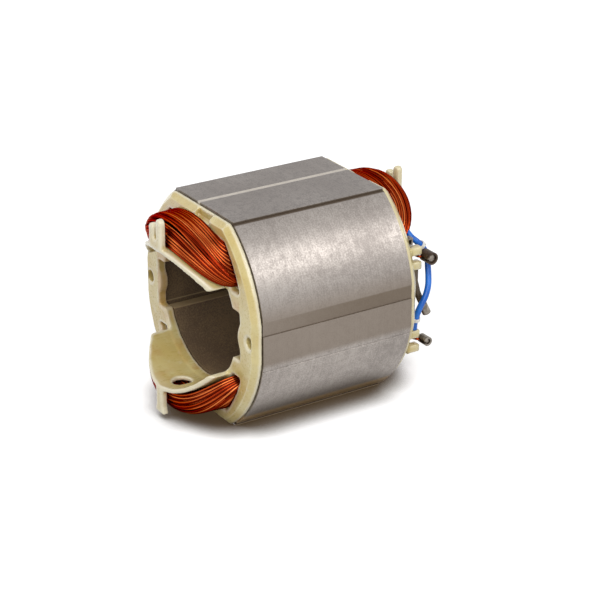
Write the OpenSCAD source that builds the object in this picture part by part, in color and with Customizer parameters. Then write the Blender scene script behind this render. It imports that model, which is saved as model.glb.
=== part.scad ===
// Two-pole motor stator: a welded lamination stack with a moulded end frame
// on each end, two saddle coils on slot liners, and the rear jumper leads.
// The bore lies along Y with its centre at the origin, midway along the stack.
// The front, plain end faces -Y and the end with the leads faces +Y.

/* [Lamination stack] */
// Length of the stack along the bore
stack_len = 53.4; // [40:0.2:70]
// Height over the flat top and bottom pads
stack_h = 67; // [65:0.5:72]
// Width over the curved sides
stack_w = 68.4; // [67:0.2:72]
// Width of the flat pads
pad_w = 34; // [28:0.5:36]
// Step from the edge of a pad down to the curved side
pad_step = 0.8; // [0.6:0.1:1.6]
// Ledge at the foot of that step
step_ledge = 0.5; // [0.3:0.1:1]
// Depth that the narrow flats take off the curved sides
side_flat = 0.5; // [0.3:0.1:0.7]
// Width of the shallow band rolled along each side
band_w = 4.5; // [2:0.5:6]
// Depth of the shallow band below the side flat
band_depth = 0.35; // [0.2:0.05:0.6]
// Height of the middle of the band above the bore axis
band_z = 5; // [3.5:0.5:7]
// Depth of the stacking mark, a V groove along each pad
mark_depth = 0.7; // [0.4:0.1:0.9]
// Sideways place of the stacking mark
mark_x = -3; // [-8:0.2:8]
// Depth of the thin line along each side
line_depth = 0.25; // [0.15:0.05:0.4]
// Height of the thin line above the bore axis
line_z = -9; // [-14:0.5:-6]

/* [Bore, poles and slots] */
// Radius of the bore that the rotor turns in
bore_r = 21.5; // [19:0.25:22]
// Gap between the tips of the two poles
pole_gap = 16; // [10:0.5:16]
// Thickness of the pole horns
horn_t = 3.15; // [2.5:0.05:3.6]
// Width of the pole body between its slots
pole_w = 24; // [20:0.5:26]
// Back iron beside the bore, at each side
side_yoke = 7.2; // [6.8:0.1:7.6]
// Back iron over the slots, at top and bottom
top_yoke = 6; // [5:0.5:7]
// Width of a slot beside the pole body
slot_root_w = 4.2; // [3:0.1:5]

/* [Insulation and windings] */
// Wall of the slot liners
liner_t = 0.3; // [0.2:0.05:0.4]
// Clearance of a slot liner in its slot
liner_fit = 0.05; // [0.02:0.01:0.1]
// Length that a slot liner shows past each end of the stack
liner_show = 1.2; // [0.5:0.1:2]
// Clearance of a coil inside its slot liners
coil_fit = 0.05; // [0.02:0.01:0.1]
// Clearance of the end turns from the moulded frames
coil_clear = 0.25; // [0.1:0.05:0.4]
// Radial depth of the end turns
coil_build = 7.6; // [5:0.2:8.6]
// Height above the bore axis where a coil side begins
coil_toe_z = 14; // [12.5:0.5:15]
// Rise of the end turns at their sides, from the end of the stack
coil_end_d = 7.4; // [6.4:0.2:8]
// Rounding of the end turns
coil_round = 4.5; // [2:0.5:6]

/* [End frames] */
// Thickness of the flange that lies on the stack
flange_t = 3; // [2:0.25:4]
// Set-back of the flange from the outline of the stack
flange_inset = 0.5; // [0.2:0.1:1]
// Rounding of the outer edge of the flange
rim_r = 1.2; // [0.6:0.1:1.6]
// Clearance of the frame round the bore
frame_clear = 0.75; // [0.4:0.05:1]
// Clearance of the slot openings in the flange round the slots
opening_fit = 0.2; // [0.1:0.05:0.4]
// Wall of the curved fences that hold the end turns
fence_t = 1.5; // [1:0.1:1.9]
// Ledge of the flange inside each fence
fence_ledge = 0.25; // [0.1:0.05:0.3]
// Angle that each fence spans
fence_span = 106; // [90:1:112]
// Rise of a fence at its ends, from the end of the stack
fence_end_d = 8.5; // [8.2:0.1:10]
// Rise of a fence at its middle, from the end of the stack
fence_mid_d = 17; // [15:0.25:19]
// Width of the opening in the flange between the fences
side_open_w = 49.4; // [47:0.2:50]
// Height of the opening in the flange between the fences
side_open_h = 15.5; // [12:0.5:18]
// Distance between the two screw holes
screw_pitch = 60; // [59:0.1:61]
// Radius of the screw holes
screw_r = 1.8; // [1.5:0.05:2]
// Least wall of iron round a screw hole
screw_wall = 0.7; // [0.5:0.05:1]
// Radius of the conical mouth of a screw hole
screw_mouth_r = 2.15; // [1.9:0.05:2.3]
// Radius of the boss round a screw hole
boss_r = 6.7; // [6.2:0.1:7.2]
// Width of the notch in the rim over each pole
notch_w = 8.5; // [4:0.5:12]
// Sideways place of the middle of the notch
notch_x = 3.5; // [0:0.5:6]
// Depth of the notch in the rim over each pole
notch_depth = 3; // [1.5:0.1:3.4]
// Floor left in the notch
notch_floor = 1; // [0.6:0.1:1.6]

/* [Retaining tabs] */
// Thickness of the tabs along the bore
tab_t = 2.2; // [1.6:0.1:3]
// Height that the tabs stand proud of the fence
tab_proud = 0.3; // [0.2:0.05:0.5]
// Radius that the longer prong of the upper tab reaches to
tab_reach = 33; // [31:0.2:33.2]
// Length that the other prong falls short by
prong_drop = 2.4; // [0.5:0.1:3]
// Radius that the lower tab reaches to
low_tab_reach = 31.6; // [30:0.2:32.4]
// Width of a prong of the split upper tab
prong_w = 2.8; // [2:0.1:3.4]
// Gap between the prongs of the split upper tab
prong_gap = 1.4; // [1:0.1:2]
// Width of the single lower tab
low_tab_w = 3.6; // [3:0.1:4.5]
// Width of the foot of the lower tab
low_foot_w = 5.6; // [4.8:0.1:7]
// Radius of the round peep hole in the lower fence
peep_r = 2.9; // [2:0.1:3.2]
// Sideways place of the peep hole
peep_x = 1.2; // [0:0.1:2]
// Place of the peep hole along the bore, from the end of the stack
peep_d = 9.6; // [8:0.1:10.5]

/* [Terminal forks] */
// Sideways place of the forks
fork_x = 26.9; // [26.8:0.1:27]
// Height of the upper fork above the bore axis
fork_upper_z = 12.6; // [12.3:0.1:12.9]
// Height of the lower fork above the bore axis
fork_lower_z = -15.5; // [-15.8:0.1:-15]
// Thickness of a fork's prongs
fork_prong_t = 2.8; // [2.2:0.1:3]
// Width of a fork's prongs
fork_prong_w = 3; // [2.4:0.1:3.2]
// Wire slot of a fork
fork_slot = 2; // [1.4:0.1:2.4]
// Rise of a fork above the flange
fork_rise = 4.6; // [4:0.1:5.4]

/* [Leads and terminals] */
// Radius of the upper terminal barrel
barrel_r = 2; // [1.6:0.05:2.2]
// Length of the upper terminal barrel
barrel_len = 4.4; // [3.6:0.1:5]
// Wall of the terminal barrels
barrel_wall = 0.6; // [0.4:0.05:0.7]
// Radius of the lower terminal barrel
low_barrel_r = 1.5; // [1.3:0.05:1.7]
// Length of the lower terminal barrel
low_barrel_len = 3.6; // [3:0.1:4.4]
// Sideways offset of the barrels from the middle of their forks
barrel_shift = 1.6; // [1.2:0.1:1.8]
// Clearance of the barrels from their forks
barrel_clear = 0.1; // [0.05:0.05:0.3]
// Diameter of the magnet wire
wire_d = 0.8; // [0.6:0.05:1]
// Distance across from a fork to where a wire tail leaves its coil
tail_reach = 5; // [4.4:0.1:5.4]
// Distance across from a fork to where the jumper lead leaves its coil
lead_reach = 6; // [5.6:0.1:6.4]
// Diameter of the insulated jumper lead
lead_d = 2; // [1.6:0.1:2.1]
// Diameter of the dark sleeve
sleeve_d = 2.1; // [1.7:0.1:2.2]
// Radius of the crimp on the end of the sleeve
crimp_r = 1.4; // [1.2:0.05:1.6]
// Length of the crimp on the end of the sleeve
crimp_len = 3.8; // [3:0.1:4.4]
// Clearance between the end of a lead and its seat
seat_gap = 0.3; // [0.2:0.05:0.5]
// Clearance of the ties round the lead
tie_fit = 0.12; // [0.1:0.01:0.2]
// Wall of the ties
tie_t = 0.35; // [0.25:0.05:0.5]
// Length of the ties
tie_len = 1.6; // [1.2:0.1:2]
// Width of the small terminal clip
clip_w = 2.4; // [2:0.1:3]
// Sheet of the small terminal clip
clip_t = 0.5; // [0.4:0.05:0.6]
// Rise of the small terminal clip above the flange
clip_rise = 1.8; // [1.4:0.1:2.4]

/* [Hidden] */
$fn = 64;
half_len = stack_len / 2;
half_h = stack_h / 2;
screw_x = screw_pitch / 2;
screw_need = screw_r + screw_wall;
// The sides stand clear of the screw holes
half_w = max(stack_w / 2, screw_x + screw_need + side_flat + band_depth);
pad_half = pad_w / 2;

// The curved sides: arcs through the widest point and the foot of a pad step
step_z = half_h - pad_step;
side_sag = half_w - pad_half - step_ledge;
side_r = (side_sag * side_sag + step_z * step_z) / (2 * side_sag);
side_cx = half_w - side_r;
flat_x = half_w - side_flat;

// The slots: arcs through the back iron and the outer corner of a slot
slot_top = half_h - top_yoke;
yoke_x = min(half_w - side_yoke, screw_x - screw_need);
slot_sag = yoke_x - pole_w / 2 - slot_root_w;
slot_r = (slot_sag * slot_sag + slot_top * slot_top) / (2 * slot_sag);
slot_cx = yoke_x - slot_r;
horn_r = bore_r + horn_t;
tip_z = pole_gap / 2;
coil_inset = liner_fit + liner_t + coil_fit;

fence_ri = bore_r + frame_clear;
fence_ro = fence_ri + fence_t;
fence_start = 90 - fence_span / 2;
fence_end_x = fence_ro * cos(fence_start);
coil_ri = fence_ro + coil_clear;
coil_ro = coil_ri + coil_build;
coil_mid_d = fence_mid_d + tab_proud - tab_t - coil_clear;
coil_seat_d = flange_t + coil_clear;
fork_tip_d = flange_t + fork_rise;
barrel_y = half_len + fork_tip_d + barrel_r + barrel_clear;
low_barrel_y = half_len + fork_tip_d + low_barrel_r + barrel_clear;
fork_half = fork_slot / 2 + fork_prong_t;
far = 200;

// An arch across the bore, through a height at its ends and one at its middle
function arch_r(end_x, end_d, mid_d) = let (rise = mid_d - end_d) (rise * rise + end_x * end_x) / (2 * rise);
// Height of the end turns at a distance from the middle
function coil_d(x) = let (r = arch_r(fence_end_x, coil_end_d, coil_mid_d)) coil_mid_d - r + sqrt(r * r - x * x);
tail_start_d = coil_d(fork_x - tail_reach) + wire_d / 2 + barrel_clear;
lead_start_d = coil_d(fork_x - lead_reach) + lead_d / 2 + seat_gap;

// Routes of the leads: across from the forks, out from the end of the stack, and up
function from_fork(route) = [for (p = route) [fork_x + p.x, half_len + p.y, p.z]];
lead_route = from_fork([
    [-lead_reach, lead_start_d, 18.9], [-4.2, 7.3, 17.5], [-3, 8.8, 16], [-2.8, 11.1, 13.3],
    [-2.8, 12.5, 10.1], [-2, 12.2, 7.7], [-0.6, 11.5, 4.7], [0.8, 10.4, 2.1],
    [1.8, 8.7, -0.6], [1.8, 6.9, -3.6], [1.4, 5.9, -6.6], [0.8, 5.7, -8.9],
    [0.5, 5.7, fork_lower_z + fork_half + seat_gap]]);
sleeve_route = from_fork([
    [0.2, 5.6, fork_upper_z - fork_half - seat_gap], [0.2, 5.7, 7], [-0.3, 6, 5.2],
    [-0.6, 6.6, 3], [-0.6, 7.7, -0.4], [-0.5, 9.3, -3.8]]);
upper_tail_route = from_fork([
    [-tail_reach, tail_start_d, 14.9], [-2.6, 6.2, 13.2], [-1, 7, fork_upper_z],
    [0, fork_tip_d, fork_upper_z], [0, barrel_y - half_len, fork_upper_z]]);
lower_tail_route = from_fork([
    [-tail_reach, tail_start_d, -15.2], [-2.6, 6.2, -15.5], [-1, 6.9, fork_lower_z],
    [0, fork_tip_d, fork_lower_z], [0, low_barrel_y - half_len, fork_lower_z]]);

// Section drawn in X and Z, carried along the bore from y0 to y1
module along_bore(y0, y1)
    translate([0, y1, 0]) rotate([90, 0, 0]) linear_extrude(y1 - y0) children();

// End-frame space: x across, y up, z outwards from the end of the stack
module at_front() translate([0, -half_len, 0]) rotate([90, 0, 0]) children();
module at_rear() mirror([0, 1, 0]) at_front() children();

module both_sides() { children(); mirror([1, 0, 0]) children(); }

// Outline of a lamination, set in all round
module outline(inset = 0) {
    intersection() {
        translate([side_cx, 0]) circle(side_r - inset, $fn = 180);
        translate([-side_cx, 0]) circle(side_r - inset, $fn = 180);
        square([2 * (flat_x - inset), 2 * (step_z - inset)], center = true);
    }
    square([2 * (pad_half - inset), 2 * (half_h - inset)], center = true);
}

// Upper right winding slot, set in all round, from the height toe_z upwards
module slot(inset, toe_z) {
    difference() {
        intersection() {
            translate([slot_cx, 0]) circle(slot_r - inset, $fn = 180);
            translate([pole_w / 2 + inset, toe_z + inset])
                square([half_w, slot_top - toe_z - 2 * inset]);
        }
        circle(horn_r + inset, $fn = 120);
    }
}

// Room for both coil sides at the right, open to the bore between the poles
module winding_window(inset = 0) {
    slot(inset, tip_z);
    mirror([0, 1]) slot(inset, tip_z);
    intersection() {
        translate([slot_cx, 0]) circle(slot_r - inset, $fn = 180);
        translate([0, -tip_z]) square([half_w, pole_gap]);
    }
}

module v_groove(depth) polygon([[-depth, 0], [0, -depth], [depth, 0], [depth, depth], [-depth, depth]]);

module lamination_section() {
    difference() {
        outline();
        circle(bore_r, $fn = 120);
        both_sides() {
            winding_window();
            translate([screw_x, 0]) circle(screw_r);
            translate([flat_x - band_depth, band_z - band_w / 2]) square([half_w, band_w]);
            translate([half_w - line_z * line_z / (2 * side_r), line_z]) rotate(-90) v_groove(line_depth);
        }
        translate([mark_x, half_h]) v_groove(mark_depth);
        translate([-mark_x, -half_h]) rotate(180) v_groove(mark_depth);
    }
}

module lamination_stack()
    color([0.6, 0.57, 0.55]) along_bore(-half_len, half_len) lamination_section();

// Edge of a plate of half width w as a section: x outwards, y up, with an
// eased upper corner
function eased(w, ease) = [[0, 0], [w, 0], [w, flange_t - ease], [w - 0.3 * ease, flange_t - 0.3 * ease],
    [w - ease, flange_t], [0, flange_t]];

// Plate of the flange before its openings: the common part of a disc from each
// curved side, a bar between the pads and the side flats
module flange_blank()
    intersection() {
        translate([side_cx, 0, 0]) rotate_extrude($fn = 180) polygon(eased(side_r - flange_inset, rim_r));
        translate([-side_cx, 0, 0]) rotate_extrude($fn = 180) polygon(eased(side_r - flange_inset, rim_r));
        rotate([90, 0, 90]) translate([0, 0, -half_w]) linear_extrude(2 * half_w) both_sides()
            polygon(eased(half_h - flange_inset, min(rim_r, notch_depth / 2)));
        translate([flange_inset - flat_x, -half_h, -1]) cube([2 * (flat_x - flange_inset), stack_h, flange_t + 2]);
    }

module flange_openings() {
    difference() {
        square([side_open_w, side_open_h], center = true);
        both_sides() translate([screw_x, 0]) circle(boss_r);
    }
    circle(fence_ri - fence_ledge, $fn = 120);
    both_sides() {
        slot(-opening_fit, coil_toe_z - opening_fit);
        mirror([0, 1]) slot(-opening_fit, coil_toe_z - opening_fit);
        translate([screw_x, 0]) circle(screw_r);
    }
}

// Space under an arch across the bore that rises to mid_d over the middle
module under_arch(end_x, end_d, mid_d) {
    r = arch_r(end_x, end_d, mid_d);
    translate([0, far / 2, mid_d - r]) rotate([90, 0, 0]) cylinder(r = r, h = far, $fn = 180);
}

module fence()
    intersection() {
        rotate([0, 0, fence_start]) rotate_extrude(angle = fence_span, $fn = 120)
            translate([fence_ri, flange_t / 2]) square([fence_t, fence_mid_d + tab_proud]);
        under_arch(fence_end_x, fence_end_d, fence_mid_d);
    }

// A bar from the fence outwards with a slightly swollen round tip
module prong(width, reach) {
    tip_r = 0.54 * width;
    translate([-width / 2, fence_ri + fence_t / 2]) square([width, reach - tip_r - fence_ri - fence_t / 2]);
    translate([0, reach - tip_r]) circle(tip_r);
}

module upper_tab()
    translate([0, 0, fence_mid_d + tab_proud - tab_t]) linear_extrude(tab_t)
        difference() {
            union() {
                translate([(prong_w + prong_gap) / 2, 0]) prong(prong_w, tab_reach);
                translate([-(prong_w + prong_gap) / 2, 0]) prong(prong_w, tab_reach - prong_drop);
                translate([-prong_w - prong_gap / 2, fence_ri + fence_t / 2])
                    square([2 * prong_w + prong_gap, 2 * fence_t]);
            }
            circle(fence_ri + fence_t / 4, $fn = 120);
        }

module lower_tab()
    translate([0, 0, fence_mid_d + tab_proud - tab_t]) linear_extrude(tab_t)
        polygon([[-low_tab_w / 2, fence_ri + fence_t / 2], [low_tab_w / 2, fence_ri + fence_t / 2],
            [low_tab_w / 2, low_tab_reach - low_foot_w / 2], [low_foot_w / 2, low_tab_reach],
            [-low_foot_w / 2, low_tab_reach], [-low_tab_w / 2, low_tab_reach - low_foot_w / 2]]);

// Round hole through the lower fence behind its tab
module peep_hole()
    translate([-peep_x, 0, peep_d]) rotate([-90, 0, 0]) cylinder(r = peep_r, h = far);

module frame_body() {
    difference() {
        flange_blank();
        translate([0, 0, -1]) linear_extrude(flange_t + 2) flange_openings();
        both_sides() translate([screw_x, 0, flange_t - screw_mouth_r])
            cylinder(r1 = 0, r2 = 2 * screw_mouth_r, h = 2 * screw_mouth_r);
        for (turn = [0, 180]) rotate([0, 0, turn])
            translate([notch_x - notch_w / 2, half_h - flange_inset - notch_depth, notch_floor])
                cube([notch_w, half_h, flange_t]);
    }
    fence();
    upper_tab();
    rotate([0, 0, 180]) {
        difference() {
            fence();
            peep_hole();
        }
        lower_tab();
    }
}

// Two prongs on the flange with a wire slot between them
module fork(height)
    for (side = [-1, 1])
        translate([fork_x - fork_prong_w / 2, height + side * (fork_slot + fork_prong_t) / 2 - fork_prong_t / 2, flange_t / 2])
            cube([fork_prong_w, fork_prong_t, fork_tip_d - flange_t / 2]);

module front_end_frame() color([0.85, 0.79, 0.56]) at_front() frame_body();

module rear_end_frame()
    color([0.85, 0.79, 0.56]) at_rear() {
        frame_body();
        both_sides() {
            fork(fork_upper_z);
            fork(fork_lower_z);
        }
    }

module liner()
    along_bore(-half_len - liner_show, half_len + liner_show)
        difference() {
            slot(liner_fit, coil_toe_z);
            slot(liner_fit + liner_t, coil_toe_z);
        }

module upper_right_slot_liner() color([0.86, 0.83, 0.72]) liner();
module upper_left_slot_liner() color([0.86, 0.83, 0.72]) mirror([1, 0, 0]) liner();
module lower_right_slot_liner() color([0.86, 0.83, 0.72]) mirror([0, 0, 1]) liner();
module lower_left_slot_liner() color([0.86, 0.83, 0.72]) rotate([0, 180, 0]) liner();

// End turns over the fence, in end-frame space
module end_turns()
    intersection() {
        rotate_extrude(angle = 180, $fn = 120)
            difference() {
                translate([coil_ri, coil_seat_d]) square([coil_build, coil_mid_d]);
                difference() {
                    translate([coil_ro - coil_round, coil_mid_d - coil_round]) square(2 * coil_mid_d);
                    translate([coil_ro - coil_round, coil_mid_d - coil_round]) circle(coil_round);
                }
            }
        under_arch(fence_end_x, coil_end_d, coil_mid_d);
        translate([-far / 2, coil_toe_z + coil_inset, 0]) cube(far);
    }

module saddle_coil() {
    both_sides() along_bore(-half_len - coil_seat_d - coil_clear, half_len + coil_seat_d + coil_clear)
        slot(coil_inset, coil_toe_z);
    at_front() end_turns();
    at_rear() end_turns();
}

module upper_coil() color([0.67, 0.25, 0.09]) saddle_coil();
module lower_coil() color([0.67, 0.25, 0.09]) mirror([0, 0, 1]) saddle_coil();

// Round tube swept along a route: each ring lies across the route there, and
// is counted from a side that the route never runs along
function unit(v) = v / norm(v);
function heading(route, i) =
    unit(route[min(i + 1, len(route) - 1)] - route[max(i - 1, 0)]);
function ring(centre, dir, side, r, sides) =
    let (across = unit(cross(dir, side)), over = cross(dir, across))
    [for (k = [0 : sides - 1]) centre + r * (cos(360 * k / sides) * across + sin(360 * k / sides) * over)];

// A curve through the route's points, with steps pieces between two points
function on_curve(a, b, c, d, t) = 0.5 * (2 * b + (c - a) * t + (2 * a - 5 * b + 4 * c - d) * t * t
    + (3 * b - a - 3 * c + d) * t * t * t);
function smooth(route, steps) = let (n = len(route) - 1) concat([for (i = [0 : n - 1], k = [0 : steps - 1])
    on_curve(route[max(i - 1, 0)], route[i], route[i + 1], route[min(i + 2, n)], k / steps)], [route[n]]);

module swept_tube(route, r, side = [1, 0, 0], sides = 8) {
    n = len(route);
    points = [for (i = [0 : n - 1]) each ring(route[i], heading(route, i), side, r, sides)];
    walls = [for (i = [0 : n - 2], k = [0 : sides - 1]) let (m = (k + 1) % sides)
        [i * sides + k, i * sides + m, (i + 1) * sides + m, (i + 1) * sides + k]];
    polyhedron(points, concat([[for (k = [sides - 1 : -1 : 0]) k]], walls,
        [[for (k = [0 : sides - 1]) (n - 1) * sides + k]]));
}

// Turns children from +Z onto a direction
module facing(dir) rotate([0, acos(dir.z / norm(dir)), atan2(dir.y, dir.x)]) children();

module upper_coil_tail() color([0.62, 0.18, 0.06]) swept_tube(smooth(upper_tail_route, 3), wire_d / 2, [0, 0, 1]);
module lower_coil_tail() color([0.62, 0.18, 0.06]) swept_tube(smooth(lower_tail_route, 3), wire_d / 2, [0, 0, 1]);

// Rolled barrel whose seam faces the fork, so that the wire enters through it
module seamed_barrel(r, length)
    translate([fork_x + barrel_shift - length / 2, 0, 0]) rotate([0, 90, 0])
        difference() {
            cylinder(r = r, h = length);
            translate([0, 0, -1]) cylinder(r = r - barrel_wall, h = length + 2);
            translate([-wire_d / 2 - barrel_clear, -r - 1, -1]) cube([wire_d + 2 * barrel_clear, r + 1, length + 2]);
        }

module upper_terminal_barrel()
    color([0.3, 0.23, 0.18]) translate([0, barrel_y, fork_upper_z]) seamed_barrel(barrel_r, barrel_len);
module lower_terminal_barrel()
    color([0.45, 0.42, 0.38]) translate([0, low_barrel_y, fork_lower_z]) seamed_barrel(low_barrel_r, low_barrel_len);

// Bent strip on the flange just above the upper fork
module terminal_clip()
    color([0.75, 0.73, 0.7]) at_rear()
        translate([fork_x - clip_w - barrel_clear, fork_upper_z + fork_half + clip_t, flange_t])
            difference() {
                cube([clip_w, clip_w, clip_rise]);
                translate([-1, clip_t, -1]) cube([clip_w + 2, clip_w - 2 * clip_t, clip_rise - clip_t + 1]);
            }

module jumper_lead() color([0.2, 0.43, 0.78]) swept_tube(smooth(lead_route, 3), lead_d / 2);

// Band round the lead at the middle of a stretch of its route
module lead_tie(first) {
    curve = smooth(lead_route, 4);
    middle = 4 * first + 2;
    color([0.9, 0.89, 0.85]) translate(curve[middle]) facing(heading(curve, middle))
        difference() {
            cylinder(r = lead_d / 2 + tie_fit + tie_t, h = tie_len, center = true);
            cylinder(r = lead_d / 2 + tie_fit, h = tie_len + 1, center = true);
        }
}
module upper_lead_tie() lead_tie(2);
module lower_lead_tie() lead_tie(10);

module lead_sleeve() color([0.3, 0.25, 0.19]) swept_tube(smooth(sleeve_route, 3), sleeve_d / 2);

// Crimp seated on the end of the sleeve
module sleeve_crimp() {
    curve = smooth(sleeve_route, 3);
    last = len(curve) - 1;
    color([0.5, 0.47, 0.43]) translate(curve[last] + barrel_clear * heading(curve, last)) facing(heading(curve, last))
        difference() {
            cylinder(r = crimp_r, h = crimp_len);
            translate([0, 0, crimp_len / 2]) cylinder(r = crimp_r - barrel_wall, h = crimp_len);
        }
}

lamination_stack();
front_end_frame();
rear_end_frame();
upper_right_slot_liner();
upper_left_slot_liner();
lower_right_slot_liner();
lower_left_slot_liner();
upper_coil();
lower_coil();
upper_coil_tail();
lower_coil_tail();
upper_terminal_barrel();
lower_terminal_barrel();
terminal_clip();
jumper_lead();
upper_lead_tie();
lower_lead_tie();
lead_sleeve();
sleeve_crimp();
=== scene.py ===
import math

import bpy
import numpy as np
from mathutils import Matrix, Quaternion, Vector


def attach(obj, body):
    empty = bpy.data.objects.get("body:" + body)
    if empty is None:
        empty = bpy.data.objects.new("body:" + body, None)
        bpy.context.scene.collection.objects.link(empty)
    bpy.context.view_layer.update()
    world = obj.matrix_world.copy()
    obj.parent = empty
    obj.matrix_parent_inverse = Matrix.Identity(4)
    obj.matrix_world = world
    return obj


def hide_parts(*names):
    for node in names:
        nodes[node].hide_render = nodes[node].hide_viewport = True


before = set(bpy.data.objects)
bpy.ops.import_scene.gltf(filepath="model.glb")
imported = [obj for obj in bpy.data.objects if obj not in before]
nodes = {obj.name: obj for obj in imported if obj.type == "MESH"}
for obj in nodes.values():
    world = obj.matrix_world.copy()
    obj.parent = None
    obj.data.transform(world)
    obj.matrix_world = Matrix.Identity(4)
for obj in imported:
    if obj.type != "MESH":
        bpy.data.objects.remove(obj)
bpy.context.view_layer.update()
mm = 0.001
scene = bpy.context.scene
scene.view_settings.view_transform = "Standard"
print("frame loaded:", len(nodes), "nodes")


def addObject(name, data):
    made = bpy.data.objects.new(name, data)
    scene.collection.objects.link(made)
    return made


# Stand a camera or a lamp at a place in millimetres, looking ahead
def aim(thing, at, ahead, roll=0):
    thing.location = at * mm
    thing.rotation_mode = "QUATERNION"
    turn = Quaternion((0, 0, 1), math.radians(roll))
    thing.rotation_quaternion = ahead.to_track_quat("-Z", "Y") @ turn


camera = {"azimuth": 57.3, "elevation": 23.9, "roll": 0.16, "distance": 616.6, "lens": 120, "sensor": 36,
          "clip": (0.01, 20), "target": (11.86, 0, 0.35)}


# The camera stands off its target by an azimuth from the front end and an elevation
def placeCamera(s):
    a, e = math.radians(s["azimuth"]), math.radians(s["elevation"])
    back = Vector((math.sin(a) * math.cos(e), -math.cos(a) * math.cos(e), math.sin(e)))
    data = bpy.data.cameras.new("viewCamera")
    data.lens, data.sensor_width = s["lens"], s["sensor"]
    data.clip_start, data.clip_end = s["clip"]
    eye = addObject("viewCamera", data)
    aim(eye, Vector(s["target"]) + back * s["distance"], -back, s["roll"])
    scene.camera = eye


placeCamera(camera)
print("camera placed")


# Shader maths: a Wire is one socket, and its operators add Math nodes
class Wire:
    def __init__(self, paint, socket):
        self.paint, self.socket = paint, socket

    def maths(self, operation, first, second=0.0):
        return self.paint.node("ShaderNodeMath", {"operation": operation}, {0: first, 1: second})

    def __add__(self, other): return self.maths("ADD", self, other)
    def __radd__(self, other): return self.maths("ADD", other, self)
    def __sub__(self, other): return self.maths("SUBTRACT", self, other)
    def __rsub__(self, other): return self.maths("SUBTRACT", other, self)
    def __mul__(self, other): return self.maths("MULTIPLY", self, other)
    def __rmul__(self, other): return self.maths("MULTIPLY", other, self)
    def __abs__(self): return self.maths("ABSOLUTE", self)


# One material: node() makes any node, its settings first and then its sockets
class Paint:
    def __init__(self, name, world=False, **fixed):
        self.material = (bpy.data.worlds if world else bpy.data.materials).new(name)
        self.material.use_nodes = True
        self.tree = self.material.node_tree
        self.skin = self.tree.nodes["Background" if world else "Principled BSDF"]
        for socket, value in fixed.items():
            self.skin.inputs[socket.replace("_", " ")].default_value = value
        self.place = self.node("ShaderNodeTexCoord", out="Object")

    def node(self, kind, settings={}, sockets={}, out=0):
        made = self.tree.nodes.new(kind)
        for key, value in settings.items():
            if key == "stops":
                ramp = made.color_ramp.elements
                while len(ramp) < len(value):
                    ramp.new(0.5)
                for element, (at, colour) in zip(ramp, value):
                    element.position, element.color = at, (*colour, 1)
            else:
                setattr(made, key, value)
        for key, value in sockets.items():
            self.feed(made.inputs[key], value)
        return Wire(self, made.outputs[out])

    def feed(self, socket, value):
        if isinstance(value, Wire):
            self.tree.links.new(value.socket, socket)
        else:
            socket.default_value = (*value, 1) if socket.type == "RGBA" and len(value) == 3 else value

    def noise(self, scale, detail, stretch=(1, 1, 1)):
        at = self.node("ShaderNodeMapping", {}, {"Vector": self.place, "Scale": stretch})
        return self.node("ShaderNodeTexNoise", {}, {"Vector": at, "Scale": scale, "Detail": detail})

    def attribute(self, name):
        return self.node("ShaderNodeAttribute", {"attribute_name": name}, out="Fac")

    def axes(self):
        return [self.node("ShaderNodeSeparateXYZ", {}, {0: self.place}, out=i) for i in range(3)]

    def length(self, vector):
        return self.node("ShaderNodeVectorMath", {"operation": "LENGTH"}, {0: vector}, out="Value")

    # distance from the bore's axis
    def fromBore(self, x, z):
        return self.length(self.node("ShaderNodeCombineXYZ", {}, {"X": x, "Z": z}))

    # smoothly from zero at low to one at high
    def band(self, value, low, high):
        return self.node("ShaderNodeMapRange", {"interpolation_type": "SMOOTHSTEP"},
                         {"Value": value, "From Min": low, "From Max": high})

    # the same from one length to another, in millimetres
    def fade(self, value, ends):
        return self.band(value, ends[0] * mm, ends[1] * mm)

    def blend(self, factor, first, second):
        return self.node("ShaderNodeMix", {"data_type": "RGBA"}, {0: factor, 6: first, 7: second}, out=2)

    # one for rays that show the place to the eye, in a mirror or through glass
    def seen(self):
        rays = ("Is Camera Ray", "Is Glossy Ray", "Is Transmission Ray")
        first, second, third = [self.node("ShaderNodeLightPath", out=ray) for ray in rays]
        return first + second + third

    def relief(self, height, strength, depth):
        bump = self.node("ShaderNodeBump", {}, {"Height": height, "Strength": strength, "Distance": depth * mm})
        self.feed(self.skin.inputs["Normal"], bump)

    def finish(self, **sockets):
        for socket, value in sockets.items():
            self.feed(self.skin.inputs[socket.replace("_", " ")], value)
        return self.material


def srgb(*rgb):
    return tuple((v / 255 / 12.92) if v < 11 else ((v / 255 + 0.055) / 1.055) ** 2.4 for v in rgb)


def grey(value):
    return (value, value, value)


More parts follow.
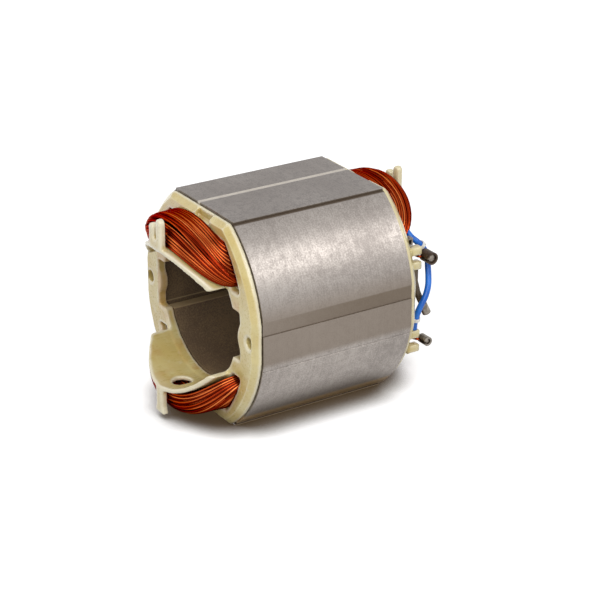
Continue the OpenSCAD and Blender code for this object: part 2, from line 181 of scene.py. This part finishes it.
# Places are in millimetres from the middle of the bore. A pair says where a tint starts and
# where it is full, noises are scale and detail, and a share is how much of a tint shows.
steel = {
    "sheet": 0.65, "clouds": (40, 4), "mottle": (420, 3), "grain": (2200, 2), "rough": 0.36,
    "clean": srgb(166, 159, 153), "dull": srgb(134, 127, 122), "tone": (0.35, 0.65),
    "flat": srgb(122, 111, 100), "midShadeTop": (15, 6), "midShadeFoot": (-8.5, -6), "midShadeShare": 0.8,
    "groove": srgb(92, 79, 64), "grooveUp": 5, "grooveHalf": (2.45, 1.75), "grooveSide": (32.2, 33),
    "grooveRear": (-10, 30),
    "top": srgb(120, 113, 109), "topUp": (32.2, 32.6), "topTone": (0.62, 0.98),
    "padSide": (16.4, 16.9), "lowShade": srgb(176, 146, 100), "lowShadeUp": (-27, -29),
    "under": srgb(60, 47, 34), "underUp": (-32.4, -32.7), "underShare": 0.6,
    "seam": srgb(216, 198, 168), "seamUp": -31.9, "seamHalf": (0.5, 0.25), "seamShare": 0.6,
    "edge": srgb(70, 55, 37), "stepShadeSide": 17.2, "stepShadeUp": 32.7, "stepShadeWide": (0.7, 0.5),
    "stepShadeHigh": (0.7, 0.45), "stepShadeShare": 0.9,
    "markHighlight": srgb(204, 197, 186), "markSide": -3, "markHalf": (0.95, 0.75), "markUp": (32.4, 32.7),
    "varnish": srgb(120, 99, 72), "shade": srgb(86, 68, 50), "inside": (29, 30), "insideTone": (0.38, 0.62),
    "tip": srgb(158, 137, 104), "tipHighlightUp": 8, "tipHighlightHalf": (0.3, 0.1)}


# Rolled steel sheets: a mottled grey, tinted by place from the outside in, with painted shade and highlights in some
# places
def steelPaint(s):
    p = Paint("laminatedSteel")
    x, y, z = p.axes()
    # one tone per sheet: noise that only changes along the bore
    sheets = p.noise(1 / (s["sheet"] * mm), 0, (0.004, 1, 0.004))
    clouds, mottle, grain = (p.noise(*s[key]) for key in ("clouds", "mottle", "grain"))
    tone = p.band(clouds * 0.3 + sheets * 0.08 + mottle * 0.22 + grain * 0.4, *s["tone"])
    colour = p.blend(tone, s["dull"], s["clean"])
    # painted shade at half height, and the shallow band along it, darker towards the rear
    flat = p.fade(z, s["midShadeTop"]) * p.fade(z, s["midShadeFoot"])
    colour = p.blend(flat * s["midShadeShare"], colour, s["flat"])
    groove = p.fade(abs(z - s["grooveUp"] * mm), s["grooveHalf"]) * p.fade(abs(x), s["grooveSide"])
    rearward = p.fade(y + clouds * 0.03, s["grooveRear"])
    colour = p.blend(groove * (0.15 + 0.4 * rearward), colour, s["groove"])
    pads = p.fade(abs(z), s["topUp"]) * p.band(grain + mottle * 0.6, *s["topTone"])
    colour = p.blend(pads, colour, s["top"])
    # beside the bottom pad: painted brown shade low on the side, a painted highlight line near the bottom and painted
    # shade along the lowest edge
    beside = p.fade(abs(x), s["padSide"])
    lowShade = beside * p.fade(z, s["lowShadeUp"]) * (0.72 + 0.28 * mottle)
    colour = p.blend(lowShade, colour, s["lowShade"])
    colour = p.blend(beside * p.fade(z, s["underUp"]) * s["underShare"], colour, s["under"])
    seam = beside * p.fade(abs(z - s["seamUp"] * mm), s["seamHalf"])
    colour = p.blend(seam * s["seamShare"], colour, s["seam"])
    # painted shade in the inner corners of the pads' steps, and a painted highlight in the mark along the top
    edge = p.fade(abs(abs(x) - s["stepShadeSide"] * mm), s["stepShadeWide"])
    edge = edge * p.fade(abs(abs(z) - s["stepShadeUp"] * mm), s["stepShadeHigh"])
    colour = p.blend(edge * s["stepShadeShare"], colour, s["edge"])
    # the mark's light colour is a painted highlight
    mark = p.fade(abs(x - s["markSide"] * mm), s["markHalf"]) * p.fade(z, s["markUp"])
    colour = p.blend(mark * (0.35 + 0.5 * mottle), colour, s["markHighlight"])
    # varnished inside, with a painted highlight on the tips of the poles
    inside = 1 - p.fade(p.fromBore(x, z), s["inside"])
    coat = p.blend(p.band(clouds * 0.6 + grain * 0.4, *s["insideTone"]), s["shade"], s["varnish"])
    colour = p.blend(inside, colour, coat)
    tipHighlights = p.fade(abs(abs(z) - s["tipHighlightUp"] * mm), s["tipHighlightHalf"]) * inside
    colour = p.blend(tipHighlights, colour, s["tip"])
    p.relief(sheets * 0.12 + grain * 0.4 + mottle * 0.15, strength=0.16, depth=0.05)
    rough = s["rough"] + (1 - tone) * 0.1 + (grain - 0.5) * 0.1 + inside * 0.2 + edge * 0.2
    metallic = (1 - inside * 0.9 - mark * 0.4) * (1 - edge * 0.6) * (1 - lowShade * 0.8)
    return p.finish(Base_Color=colour, Roughness=rough, Metallic=metallic)


cream = {
    "clouds": (110, 3), "fibres": (1500, 2, (1, 0.3, 1)), "speckle": (320, 2), "creep": (240, 3), "rough": 0.3,
    "base": srgb(213, 198, 140), "warm": srgb(202, 180, 112), "tone": (0.35, 0.7),
    "pale": srgb(234, 228, 206), "speckleTone": (0.62, 0.8), "speckleShare": 0.3,
    "stain": srgb(186, 132, 58), "bore": (22, 22.6), "creepTone": (0.45, 0.7), "creepShare": 0.45,
    "ends": (39, 42.5), "endShare": 0.2, "wearAndHighlight": (0.1, 0.7), "wearAndHighlightFront": (10, -10),
    "corner": srgb(166, 134, 70), "hollow": (-0.1, -0.7), "hollowShare": 0.6,
    "mouthSide": (25.05, 24.8), "mouthUp": (13, 10), "mouthTone": (0.4, 0.6)}


# Glossy moulding: a cream base with speckle, wear and painted highlights on its edges, and varnish over it
def creamPaint(s):
    p = Paint("creamMoulding", IOR=1.5, Coat_Weight=0.7, Coat_Roughness=0.22)
    x, y, z = p.axes()
    clouds, fibres, speckle, creep = (p.noise(*s[key]) for key in ("clouds", "fibres", "speckle", "creep"))
    colour = p.blend(p.band(clouds, *s["tone"]), s["warm"], s["base"])
    colour = p.blend(p.band(speckle, *s["speckleTone"]) * s["speckleShare"], colour, s["pale"])
    # varnish that crept from the windings, near the bore
    crept = (1 - p.fade(p.fromBore(x, z), s["bore"])) * p.band(creep, *s["creepTone"])
    colour = p.blend(crept * s["creepShare"], colour, s["stain"])
    colour = p.blend(p.fade(abs(y), s["ends"]) * s["endShare"], colour, s["pale"])
    # edges painted pale, partly wear and partly painted highlight, most of all at the front, and hollows where the
    # varnish stayed
    bend = p.attribute("edgeWear")
    wearAndHighlight = p.band(bend, *s["wearAndHighlight"]) * (0.3 + 0.34 * p.fade(y, s["wearAndHighlightFront"]))
    colour = p.blend(wearAndHighlight, colour, s["pale"])
    colour = p.blend(p.band(bend, *s["hollow"]) * s["hollowShare"], colour, s["corner"])
    # stain round the mouths of the slots
    mouth = p.fade(abs(x), s["mouthSide"]) * p.fade(abs(z), s["mouthUp"])
    colour = p.blend(mouth * (0.1 + 0.45 * p.band(clouds, *s["mouthTone"])), colour, s["stain"])
    p.relief(fibres * 0.08 + clouds, strength=0.25, depth=0.12)
    return p.finish(Base_Color=colour, Roughness=s["rough"] + (fibres - 0.5) * 0.25)


liner = {"mottle": (400, 3), "pale": srgb(222, 212, 178), "warm": srgb(204, 190, 146), "rough": 0.45}


# Film in the slots: two pale tones mixed by noise
def linerPaint(s):
    p = Paint("slotFilm", IOR=1.5)
    mottle = p.noise(*s["mottle"])
    p.relief(mottle, strength=0.2, depth=0.05)
    return p.finish(Base_Color=p.blend(mottle, s["pale"], s["warm"]), Roughness=s["rough"] + (mottle - 0.5) * 0.2)


copper = {"stops": [(0, (0.075, 0.004, 0.0015)), (0.5, (0.25, 0.021, 0.004)), (0.8, (0.37, 0.052, 0.01)),
                    (1, (0.57, 0.15, 0.04))],
          "sheen": (0.55, 0.14, 0.05, 1), "drift": (170, 2), "dents": (900, 2), "tone": (0.1, 0.95), "rough": 0.22}


# Enamelled wire: a ramp of copper tones, read by each strand's own tone, which holds painted shade and highlight, and
# a slow drift
def copperPaint(s):
    p = Paint("enamelledCopper", Metallic=1.0, Specular_Tint=s["sheen"])
    drift = p.noise(*s["drift"])
    tone = p.band(p.attribute("strandTone") * 0.8 + drift * 0.2, *s["tone"])
    p.relief(p.noise(*s["dents"]), strength=0.1, depth=0.05)
    colour = p.node("ShaderNodeValToRGB", {"stops": s["stops"]}, {"Fac": tone})
    return p.finish(Base_Color=colour, Roughness=s["rough"] + (drift - 0.5) * 0.15)


metal = {"cast": (500, 4), "pits": (1400, 3), "tone": (0.35, 0.68)}


# Small metal fittings: two tones mixed by noise, over a pitted skin
def metalPaint(s, name, low, high, rough, metallic):
    p = Paint(name, Metallic=metallic)
    cast = p.noise(*s["cast"])
    p.relief(p.noise(*s["pits"]), strength=0.3, depth=0.06)
    return p.finish(Base_Color=p.blend(p.band(cast, *s["tone"]), low, high), Roughness=rough + (cast - 0.5) * 0.3)


plastic = {"drift": (300, 3), "tone": (0.3, 0.7), "weaveStretch": (1, 1, 0.4)}


# Insulation and lacing: two tones mixed by noise, with a woven skin where there is a weave
def plasticPaint(s, name, low, high, rough, weave=0):
    p = Paint(name, IOR=1.48)
    drift = p.noise(*s["drift"])
    if weave:
        p.relief(p.noise(weave, 1, s["weaveStretch"]), strength=0.5, depth=0.12)
    else:
        p.relief(drift, strength=0.15, depth=0.08)
    return p.finish(Base_Color=p.blend(p.band(drift, *s["tone"]), low, high), Roughness=rough + (drift - 0.5) * 0.2)


paints = {
    "steel": steelPaint(steel), "cream": creamPaint(cream), "liner": linerPaint(liner),
    "copper": copperPaint(copper),
    "darkBarrel": metalPaint(metal, "oxidisedBarrel", srgb(58, 44, 34), srgb(88, 71, 56),
                             rough=0.45, metallic=0.6),
    "tinned": metalPaint(metal, "tinnedCrimp", srgb(112, 104, 95), srgb(158, 150, 140), rough=0.4, metallic=0.9),
    "blue": plasticPaint(plastic, "blueInsulation", srgb(16, 92, 188), srgb(34, 118, 218), rough=0.35),
    "sleeve": plasticPaint(plastic, "varnishedSleeve", srgb(66, 54, 40), srgb(98, 83, 64), rough=0.5, weave=1500),
    "lacing": plasticPaint(plastic, "whiteLacing", srgb(222, 220, 212), srgb(240, 238, 232),
                           rough=0.6, weave=2400)}
print("materials made:", len(paints))


def setAttribute(mesh, name, values):
    mesh.attributes.new(name, "FLOAT", "POINT").data.foreach_set("value", values.ravel().astype(np.float32))


# A mesh from arrays of corners and faces, at the origin, smooth shaded
def makePiece(name, corners, faces, paint, tone=None):
    mesh = bpy.data.meshes.new(name)
    mesh.from_pydata(corners.reshape(-1, 3) * mm, [], faces)
    mesh.shade_smooth()
    if tone is not None:
        setAttribute(mesh, "strandTone", tone)
    mesh.materials.append(paints[paint])
    piece = addObject(name, mesh)
    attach(piece, "root")
    return piece


# Curve through the route's points: each stretch is the cubic whose slope at a point
# is half the step from the point before it to the point after it
def smoothRoute(route, steps):
    route = np.array(route, float)
    padded = np.vstack([route[:1], route, route[-1:]])
    a, b, c, d = (padded[i:len(padded) - 3 + i, None] for i in range(4))
    t = (np.arange(steps) / steps)[None, :, None]
    curve = 0.5 * (2 * b + (c - a) * t + (2 * a - 5 * b + 4 * c - d) * t ** 2 + (3 * b - a - 3 * c + d) * t ** 3)
    return np.vstack([curve.reshape(-1, 3), route[-1:]])


def unit(v):
    return v / np.linalg.norm(v, axis=-1, keepdims=True)


acrossBore = np.array([1, 0, 1])  # leaves out what runs along the bore


def roundTurn(count):
    return np.linspace(0, 2 * np.pi, count, endpoint=False)


# Rings across a path: centre + radius * (cos * across + sin * over), where across is
# square to the path and to a side direction that the path never runs along
def ringsAlong(path, side, radius, count, closed=False):
    if closed:
        heading = unit(np.roll(path, -1, axis=-2) - np.roll(path, 1, axis=-2))
    else:
        heading = unit(np.gradient(path, axis=-2))
    across = unit(np.cross(heading, np.broadcast_to(side, path.shape)))
    over = np.cross(heading, across)
    turn = roundTurn(count)[:, None]
    spread = np.cos(turn) * across[..., None, :] + np.sin(turn) * over[..., None, :]
    return path[..., None, :] + np.broadcast_to(radius, path.shape[:-1])[..., None, None] * spread


# Quads between neighbouring rings of a grid of rows x count corners
def ringFaces(rows, count, closed=False):
    i = np.arange(rows if closed else rows - 1)[:, None]
    k = np.arange(count)[None, :]
    j, m = (i + 1) % rows, (k + 1) % count
    quad = np.broadcast_arrays(i * count + k, i * count + m, j * count + m, j * count + k)
    return np.stack(quad, -1).reshape(-1, 4)


# The same with both end rings closed by flat faces
def cappedFaces(rows, count):
    first, last = list(range(count))[::-1], list(range((rows - 1) * count, rows * count))
    return ringFaces(rows, count).tolist() + [first, last]


# Tube with flat ends: rings across a path, of one radius or of one for each point
def makeTube(name, path, radius, paint, side=(1, 0, 0), count=14, tone=None):
    rings = ringsAlong(path, side, radius, count)
    shade = None if tone is None else np.full(rings.shape[:-1], tone)
    return makePiece(name, rings, cappedFaces(len(path), count), paint, shade)


fork = {"x": 26.9, "end": 26.7}


# Routes are counted across from the forks, out from the end of the stack, and up
def fromFork(route):
    return [(fork["x"] + across, fork["end"] + out, up) for across, out, up in route]


lead = {"diameter": 2.0, "steps": 6, "route": fromFork([
    (-6, 6.72, 18.9), (-4.2, 7.3, 17.5), (-3, 8.8, 16), (-2.8, 11.1, 13.3), (-2.8, 12.5, 10.1), (-2, 12.2, 7.7),
    (-0.6, 11.5, 4.7), (0.8, 10.4, 2.1), (1.8, 8.7, -0.6), (1.8, 6.9, -3.6), (1.4, 5.9, -6.6), (0.8, 5.7, -8.9),
    (0.5, 5.7, -11.4)])}


# Jumper lead: a round tube along the smooth curve through its route
def makeLead(s):
    path = smoothRoute(s["route"], s["steps"])
    piece = makeTube("blueJumperLead", path, s["diameter"] / 2, "blue")
    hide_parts("jumper_lead")
    s["diameter"] * mm
    return path


leadPath = makeLead(lead)

sleeve = {"diameter": 2.1, "steps": 6, "waves": ((0.03, 23), (0.02, 57)), "route": fromFork([
    (0.2, 5.6, 8.5), (0.2, 5.7, 7), (-0.3, 6, 5.2), (-0.6, 6.6, 3), (-0.6, 7.7, -0.4), (-0.5, 9.3, -3.8)])}


# Sleeve: a tube whose radius swells by two small sine waves along its way
def makeSleeve(s):
    path = smoothRoute(s["route"], s["steps"])
    t = np.linspace(0, 1, len(path))
    swell = 1 + sum(height * np.sin(rate * t) for height, rate in s["waves"])
    piece = makeTube("varnishedSleeve", path, s["diameter"] / 2 * swell, "sleeve")
    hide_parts("lead_sleeve")


makeSleeve(sleeve)

# Coil tails: thin tubes that run from the coils to the barrels
tails = {"diameter": 0.8, "steps": 6, "sides": 10, "tone": 0.7, "routes": {
    "upper": fromFork([(-5, 4.72, 14.9), (-2.6, 6.2, 13.2), (-1, 7, 12.6), (0, 7.6, 12.6), (0, 9.7, 12.6)]),
    "lower": fromFork([(-5, 4.72, -15.2), (-2.6, 6.2, -15.5), (-1, 6.9, -15.5), (0, 7.6, -15.5), (0, 9.2, -15.5)])}}
for end, route in tails["routes"].items():
    tail = makeTube(end + "CoilTail", smoothRoute(route, tails["steps"]), tails["diameter"] / 2, "copper",
                    side=(0, 0, 1), count=tails["sides"], tone=tails["tone"])
    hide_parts(end + "_coil_tail")

lacing = {"cord": 0.2, "radius": 1.28, "turns": 3.2, "pitch": 0.42, "points": 90, "sides": 8,
          "places": {"upper": 2, "lower": 10}}


# Lacing round the lead: a helix on a cylinder about the lead's own path
def makeLacing(s, name, stretch):
    at = (stretch * lead["steps"]) + lead["steps"] // 2
    centre, heading = leadPath[at], unit(leadPath[at + 1] - leadPath[at - 1])
    across = unit(np.cross(heading, (1, 0, 0)))
    over = np.cross(heading, across)
    t = np.linspace(-0.5, 0.5, s["points"])[:, None] * s["turns"]
    turn = 2 * np.pi * t
    path = centre + heading * t * s["pitch"] + s["radius"] * (np.cos(turn) * across + np.sin(turn) * over)
    piece = makeTube(name + "Lacing", path, s["cord"], "lacing", side=heading, count=s["sides"])
    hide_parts(name + "_lead_tie")


for name, stretch in lacing["places"].items():
    makeLacing(lacing, name, stretch)
print("leads, tails and lacing made")

coil = {"wire": 0.34, "rows": 18, "columns": 12, "layers": 2, "endRings": 35, "sideRings": 4, "sideShare": 0.9,
        "sides": 7, "wander": 0.6, "seed": 11, "halfLength": 26.7, "hornRadius": 25.05, "slotRadius": 40.0,
        "slotCentre": -13.4, "toeAngle": 35.8, "poleAngle": 59.5, "innerRadius": 24.0, "outerRadius": 31.6,
        "lowRise": 3.6, "crestRise": 14.85, "cornerRound": 4.4, "cornerFrom": 0.42, "cornerSteep": 0.98,
        "archPower": (2.1, 1.6), "reachPower": 0.8, "darkTone": 0.08, "shadeStripeTone": 0.5, "chanceTone": 0.42}


# Turns of one saddle coil. A turn is named by p, across the bundle, and q, up the bundle.
# In the slot it stands at an angle that falls with q and a radius that grows with p. Over
# each end it follows a squarish arch, angle = cos and rise = sin of the way round to a
# power, and its radius changes to that of the ring over the fence.
def coilTurns(s, seed):
    draw = np.random.default_rng(seed)
    row, column = np.indices((s["rows"], s["columns"])).reshape(2, -1, 1)
    lastRow, lastColumn = s["rows"] - 1, s["columns"] - 1
    depth = np.min([row, column, lastRow - row, lastColumn - column], axis=0)
    outer = depth[:, 0] < s["layers"]
    p, q = column[outer] / lastColumn, row[outer] / lastRow
    count, wire = len(p), s["wire"]
    # only the first two of each are used, and the tones are drawn after all of them
    phase = draw.uniform(0, 2 * np.pi, (6, count, 1))
    swing = draw.uniform(0.4, 1, (4, count, 1)) * s["wander"]
    slotAngle = np.radians(s["poleAngle"] - q * (s["poleAngle"] - s["toeAngle"]))
    slotOut = s["slotCentre"] * np.cos(slotAngle) + np.sqrt(
        (s["slotRadius"] - wire) ** 2 - (s["slotCentre"] * np.sin(slotAngle)) ** 2)
    slotIn = s["hornRadius"] + wire
    slotR = slotIn + p * (slotOut - slotIn)
    outerPower, innerPower = s["archPower"]
    power = 2 / (outerPower + innerPower * (1 - q))
    way = np.linspace(0, np.pi, s["endRings"])[None, :]
    loops = []
    for end in (-1, 1):
        walk = way if end < 0 else np.pi - way
        lift, turned = np.sin(walk), np.cos(walk)
        pp = np.clip(p + lift * swing[0] / s["columns"] * np.sin(2 * walk + phase[0] + end), 0, 1)
        qq = np.clip(q + lift * swing[1] / s["rows"] * np.sin(3 * walk + phase[1] - end), 0, 1)
        corner = np.clip((pp - s["cornerFrom"]) / (1 - s["cornerFrom"]), 0, 1)
        top = s["crestRise"] - wire - s["cornerRound"] * (1 - np.sqrt(1 - s["cornerSteep"] * corner ** 2))
        crest = s["lowRise"] + qq * (top - s["lowRise"])
        ringR = s["innerRadius"] + wire + pp * (s["outerRadius"] - s["innerRadius"] - 2 * wire)
        fromTop = (np.pi / 2 - slotAngle) * np.sign(turned) * np.abs(turned) ** power
        out = end * (s["halfLength"] + crest * lift ** power)
        reach = slotR + (ringR - slotR) * lift ** s["reachPower"]
        loops.append(np.stack([reach * np.sin(fromTop), out, reach * np.cos(fromTop)], -1))
        # the straight side in the slot, from this end to the other
        along = end * s["halfLength"] * np.linspace(s["sideShare"], -s["sideShare"], s["sideRings"])[None, :]
        straight = np.broadcast_arrays(end * slotR * np.cos(slotAngle), along, slotR * np.sin(slotAngle))
        loops.append(np.stack(straight, -1))
    # neighbours take turns to be dark and bright, a painted shade and highlight between strands, each a little by
    # chance
    shadeStripe = (row + column)[outer] % 2
    tone = s["darkTone"] + s["shadeStripeTone"] * shadeStripe + s["chanceTone"] * draw.uniform(0, 1, (count, 1))
    return np.concatenate(loops, axis=1), tone[..., None]


# A coil: a closed tube round each turn, mirrored for the lower pole
def makeCoil(s, name, up):
    path, tone = coilTurns(s, s["seed"] + up)
    outward = unit(path * acrossBore)
    rings = ringsAlong(path, outward, s["wire"], s["sides"], closed=True)
    rings = rings * np.array([1, 1, up])
    turns, rows = rings.shape[:2]
    one = ringFaces(rows, s["sides"], closed=True)
    if up < 0:
        one = one[:, ::-1]
    faces = (one[None] + (np.arange(turns) * rows * s["sides"])[:, None, None]).reshape(-1, 4)
    piece = makePiece(name + "WoundCoil", rings, faces.tolist(), "copper", np.broadcast_to(tone, rings.shape[:-1]))
    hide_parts(name + "_coil")
    print(name, "coil:", turns, "turns,", 2 * len(faces), "triangles")


makeCoil(coil, "upper", 1)
makeCoil(coil, "lower", -1)

moulding = {"weld": 0.001, "voxel": 0.42, "smooth": 7, "smoothShare": 0.5, "fullBend": 0.03, "evenRounds": 3,
            "lump": 0.07, "lumpWaves": ((0.9, 0.4, 0.7), (-0.5, 0.8, 1.1)), "stackEnd": 26.7, "bevelFrom": 1.2,
            "flange": 3.2, "sideRadius": 39.86, "sideCentre": 6.16, "flat": 33.2, "pad": 33}


# Bevel on the flange's rim: the further out from the stack, the further a corner has to be
# from the flange's outline, the nearest of its side arc, its flat and its pad
def bevelRim(s, place):
    x, y, z = np.abs(place).T
    out = y - s["stackEnd"]
    edge = np.min([s["sideRadius"] - np.hypot(x + s["sideCentre"], z), s["flat"] - x, s["pad"] - z], axis=0)
    short = np.clip(out - s["bevelFrom"] - edge, 0, None) * (out < s["flange"])
    inward = -unit(place * acrossBore)
    return place + inward * short[:, None]


# How sharply the surface bends at each corner of a mesh: its height over the mean of the
# corners that its edges lead to, as a share of a full bend, evened out over a few rounds
def bendOf(s, mesh, corners, normals):
    pairs = np.empty(len(mesh.edges) * 2, np.int32)
    mesh.edges.foreach_get("vertices", pairs)
    first, second = pairs.reshape(-1, 2).T
    count = len(corners)
    share = np.bincount(pairs, minlength=count)

    def around(values):
        return (np.bincount(first, values[second], count) + np.bincount(second, values[first], count)) / share

    mean = np.stack([around(corners[:, axis]) for axis in range(3)], -1)
    bend = np.clip(np.sum((corners - mean) * normals, axis=1) / (s["fullBend"] * mm), -1, 1)
    for _ in range(s["evenRounds"]):
        bend = around(bend)
    return bend


def readCorners(mesh, what):
    values = np.empty(len(mesh.vertices) * 3, np.float32)
    mesh.vertices.foreach_get(what, values)
    return values.reshape(-1, 3)


# The solid as a fine even mesh, its edges rounded off
def softCopy(s, source):
    rough = addObject("rough", source.data.copy())
    weld = rough.modifiers.new("weld", "WELD")
    weld.merge_threshold = s["weld"] * mm
    remesh = rough.modifiers.new("remesh", "REMESH")
    remesh.mode, remesh.voxel_size = "VOXEL", s["voxel"] * mm
    soften = rough.modifiers.new("soften", "SMOOTH")
    soften.factor, soften.iterations = s["smoothShare"], s["smooth"]
    made = bpy.data.meshes.new_from_object(rough.evaluated_get(bpy.context.evaluated_depsgraph_get()))
    bpy.data.objects.remove(rough)
    return made


# Moulded frame: a soft copy of the solid with a bevelled rim and shallow hollows, whose depth
# follows the product of two sine waves of the place
def makeMoulding(s, end):
    made = softCopy(s, nodes[end + "_end_frame"])
    made.materials.clear()
    made.materials.append(paints["cream"])
    normals = readCorners(made, "normal")
    place = bevelRim(s, readCorners(made, "co") / mm)
    setAttribute(made, "edgeWear", bendOf(s, made, place * mm, normals))
    first, second = np.array(s["lumpWaves"])
    lump = np.sin(place @ first) * np.sin(place @ second + 1)
    corners = (place - normals * (s["lump"] * (0.5 + 0.5 * lump))[:, None]) * mm
    made.vertices.foreach_set("co", corners.ravel())
    made.shade_smooth()
    made.name = end + "MouldedFrame"
    piece = addObject(end + "MouldedFrame", made)
    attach(piece, "root")
    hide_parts(end + "_end_frame")
    print(end, "frame:", len(made.polygons), "faces")


for end in ("front", "rear"):
    makeMoulding(moulding, end)

solder = {"dome": 0.5, "tip": 0.01, "rings": 12, "sides": 24, "plugs": {
    "upper": {"first": 26.6, "last": 30.4, "y": 36.4, "z": 12.6, "radius": 1.42},
    "lower": {"first": 27, "last": 30, "y": 35.9, "z": -15.5, "radius": 0.92}}}


# Solder in a terminal barrel: a profile of radius against x, with a flat end, a straight side
# and a dome that is a quarter of an ellipse, turned about the barrel's axis
def makePlug(s, name):
    plug = s["plugs"][name]
    quarter = np.linspace(0, np.pi / 2, s["rings"])
    dome = plug["last"] - s["dome"] + s["dome"] * np.sin(quarter)
    x = np.concatenate([[plug["first"], plug["first"]], dome])[:, None]
    r = np.concatenate([[s["tip"], plug["radius"]], plug["radius"] * np.cos(quarter) + s["tip"]])[:, None]
    turn = roundTurn(s["sides"])
    grid = np.broadcast_arrays(x, plug["y"] + r * np.cos(turn), plug["z"] + r * np.sin(turn))
    piece = makePiece(name + "BarrelSolder", np.stack(grid, -1), cappedFaces(len(x), s["sides"]), "tinned")


for name in solder["plugs"]:
    makePlug(solder, name)
print("solder made")

carried = {"lamination_stack": "steel", "upper_right_slot_liner": "liner", "upper_left_slot_liner": "liner",
           "lower_right_slot_liner": "liner", "lower_left_slot_liner": "liner", "upper_terminal_barrel": "darkBarrel",
           "lower_terminal_barrel": "tinned", "terminal_clip": "tinned", "sleeve_crimp": "tinned"}
for name, paint in carried.items():
    nodes[name].data.materials.clear()
    nodes[name].data.materials.append(paints[paint])
print("carried nodes painted:", len(carried))

studio = {
    "floor": -33.5, "half": 1500, "floorColour": 0.55, "glow": 0.74, "farGlow": 1.0, "far": (100, 400),
    "contact": 12, "contactSamples": 16, "contactShadowTone": (0.2, 0.9), "contactShadowGlow": (0.05, 0.033, 0.018),
    "contactShadowColour": (0.06, 0.045, 0.03), "shortRays": (0.5, 1), "ambient": 0.32,
    "lamps": {"key": {"at": (420, -260, 420), "size": 520, "power": 2.8},
              "streak": {"at": (430, 324, 372), "size": 150, "power": 0.76},
              "fill": {"at": (-300, -420, 380), "size": 420, "power": 0.8}}}


# Floor paint: it glows to the eye, more so further off, with a painted contact shadow close to the object
def floorPaint(s):
    p = Paint("paleFloor", Roughness=0.9, Specular_IOR_Level=0.0, Emission_Strength=1.0)
    glow = p.blend(p.fade(p.length(p.place), s["far"]), grey(s["glow"]), grey(s["farGlow"]))
    # painted contact shadow: the floor's glow and colour darken where the object is near
    near = p.node("ShaderNodeAmbientOcclusion", {"samples": s["contactSamples"]},
                  {"Distance": s["contact"] * mm}, out="AO")
    clear = p.band(near, *s["contactShadowTone"])
    # see-through from below and to rays that start on it, so that the underside shows
    above = 1 - p.node("ShaderNodeNewGeometry", out="Backfacing")
    solid = above * p.fade(p.node("ShaderNodeLightPath", out="Ray Length"), s["shortRays"])
    shown = p.blend(p.seen(), grey(0), p.blend(clear, s["contactShadowGlow"], glow))
    return p.finish(Base_Color=p.blend(clear, s["contactShadowColour"], grey(s["floorColour"])), Alpha=solid,
                    Emission_Color=shown)


def makeStudio(s):
    half = s["half"] * mm
    corners = [(x * half, y * half, s["floor"] * mm) for x, y in ((-1, -1), (1, -1), (1, 1), (-1, 1))]
    mesh = bpy.data.meshes.new("studioFloor")
    mesh.from_pydata(corners, [], [(0, 1, 2, 3)])
    mesh.materials.append(floorPaint(s))
    floor = addObject("studioFloor", mesh)
    p = Paint("paleWorld", world=True, Strength=1.0)
    scene.world = p.finish(Color=p.blend(p.seen(), grey(s["ambient"]), grey(1)))
    for name, values in s["lamps"].items():
        lamp = bpy.data.lights.new(name + "Lamp", "AREA")
        lamp.size, lamp.energy = values["size"] * mm, values["power"]
        at = Vector(values["at"])
        aim(addObject(name + "Lamp", lamp), at, -at)


makeStudio(studio)
print("studio set")
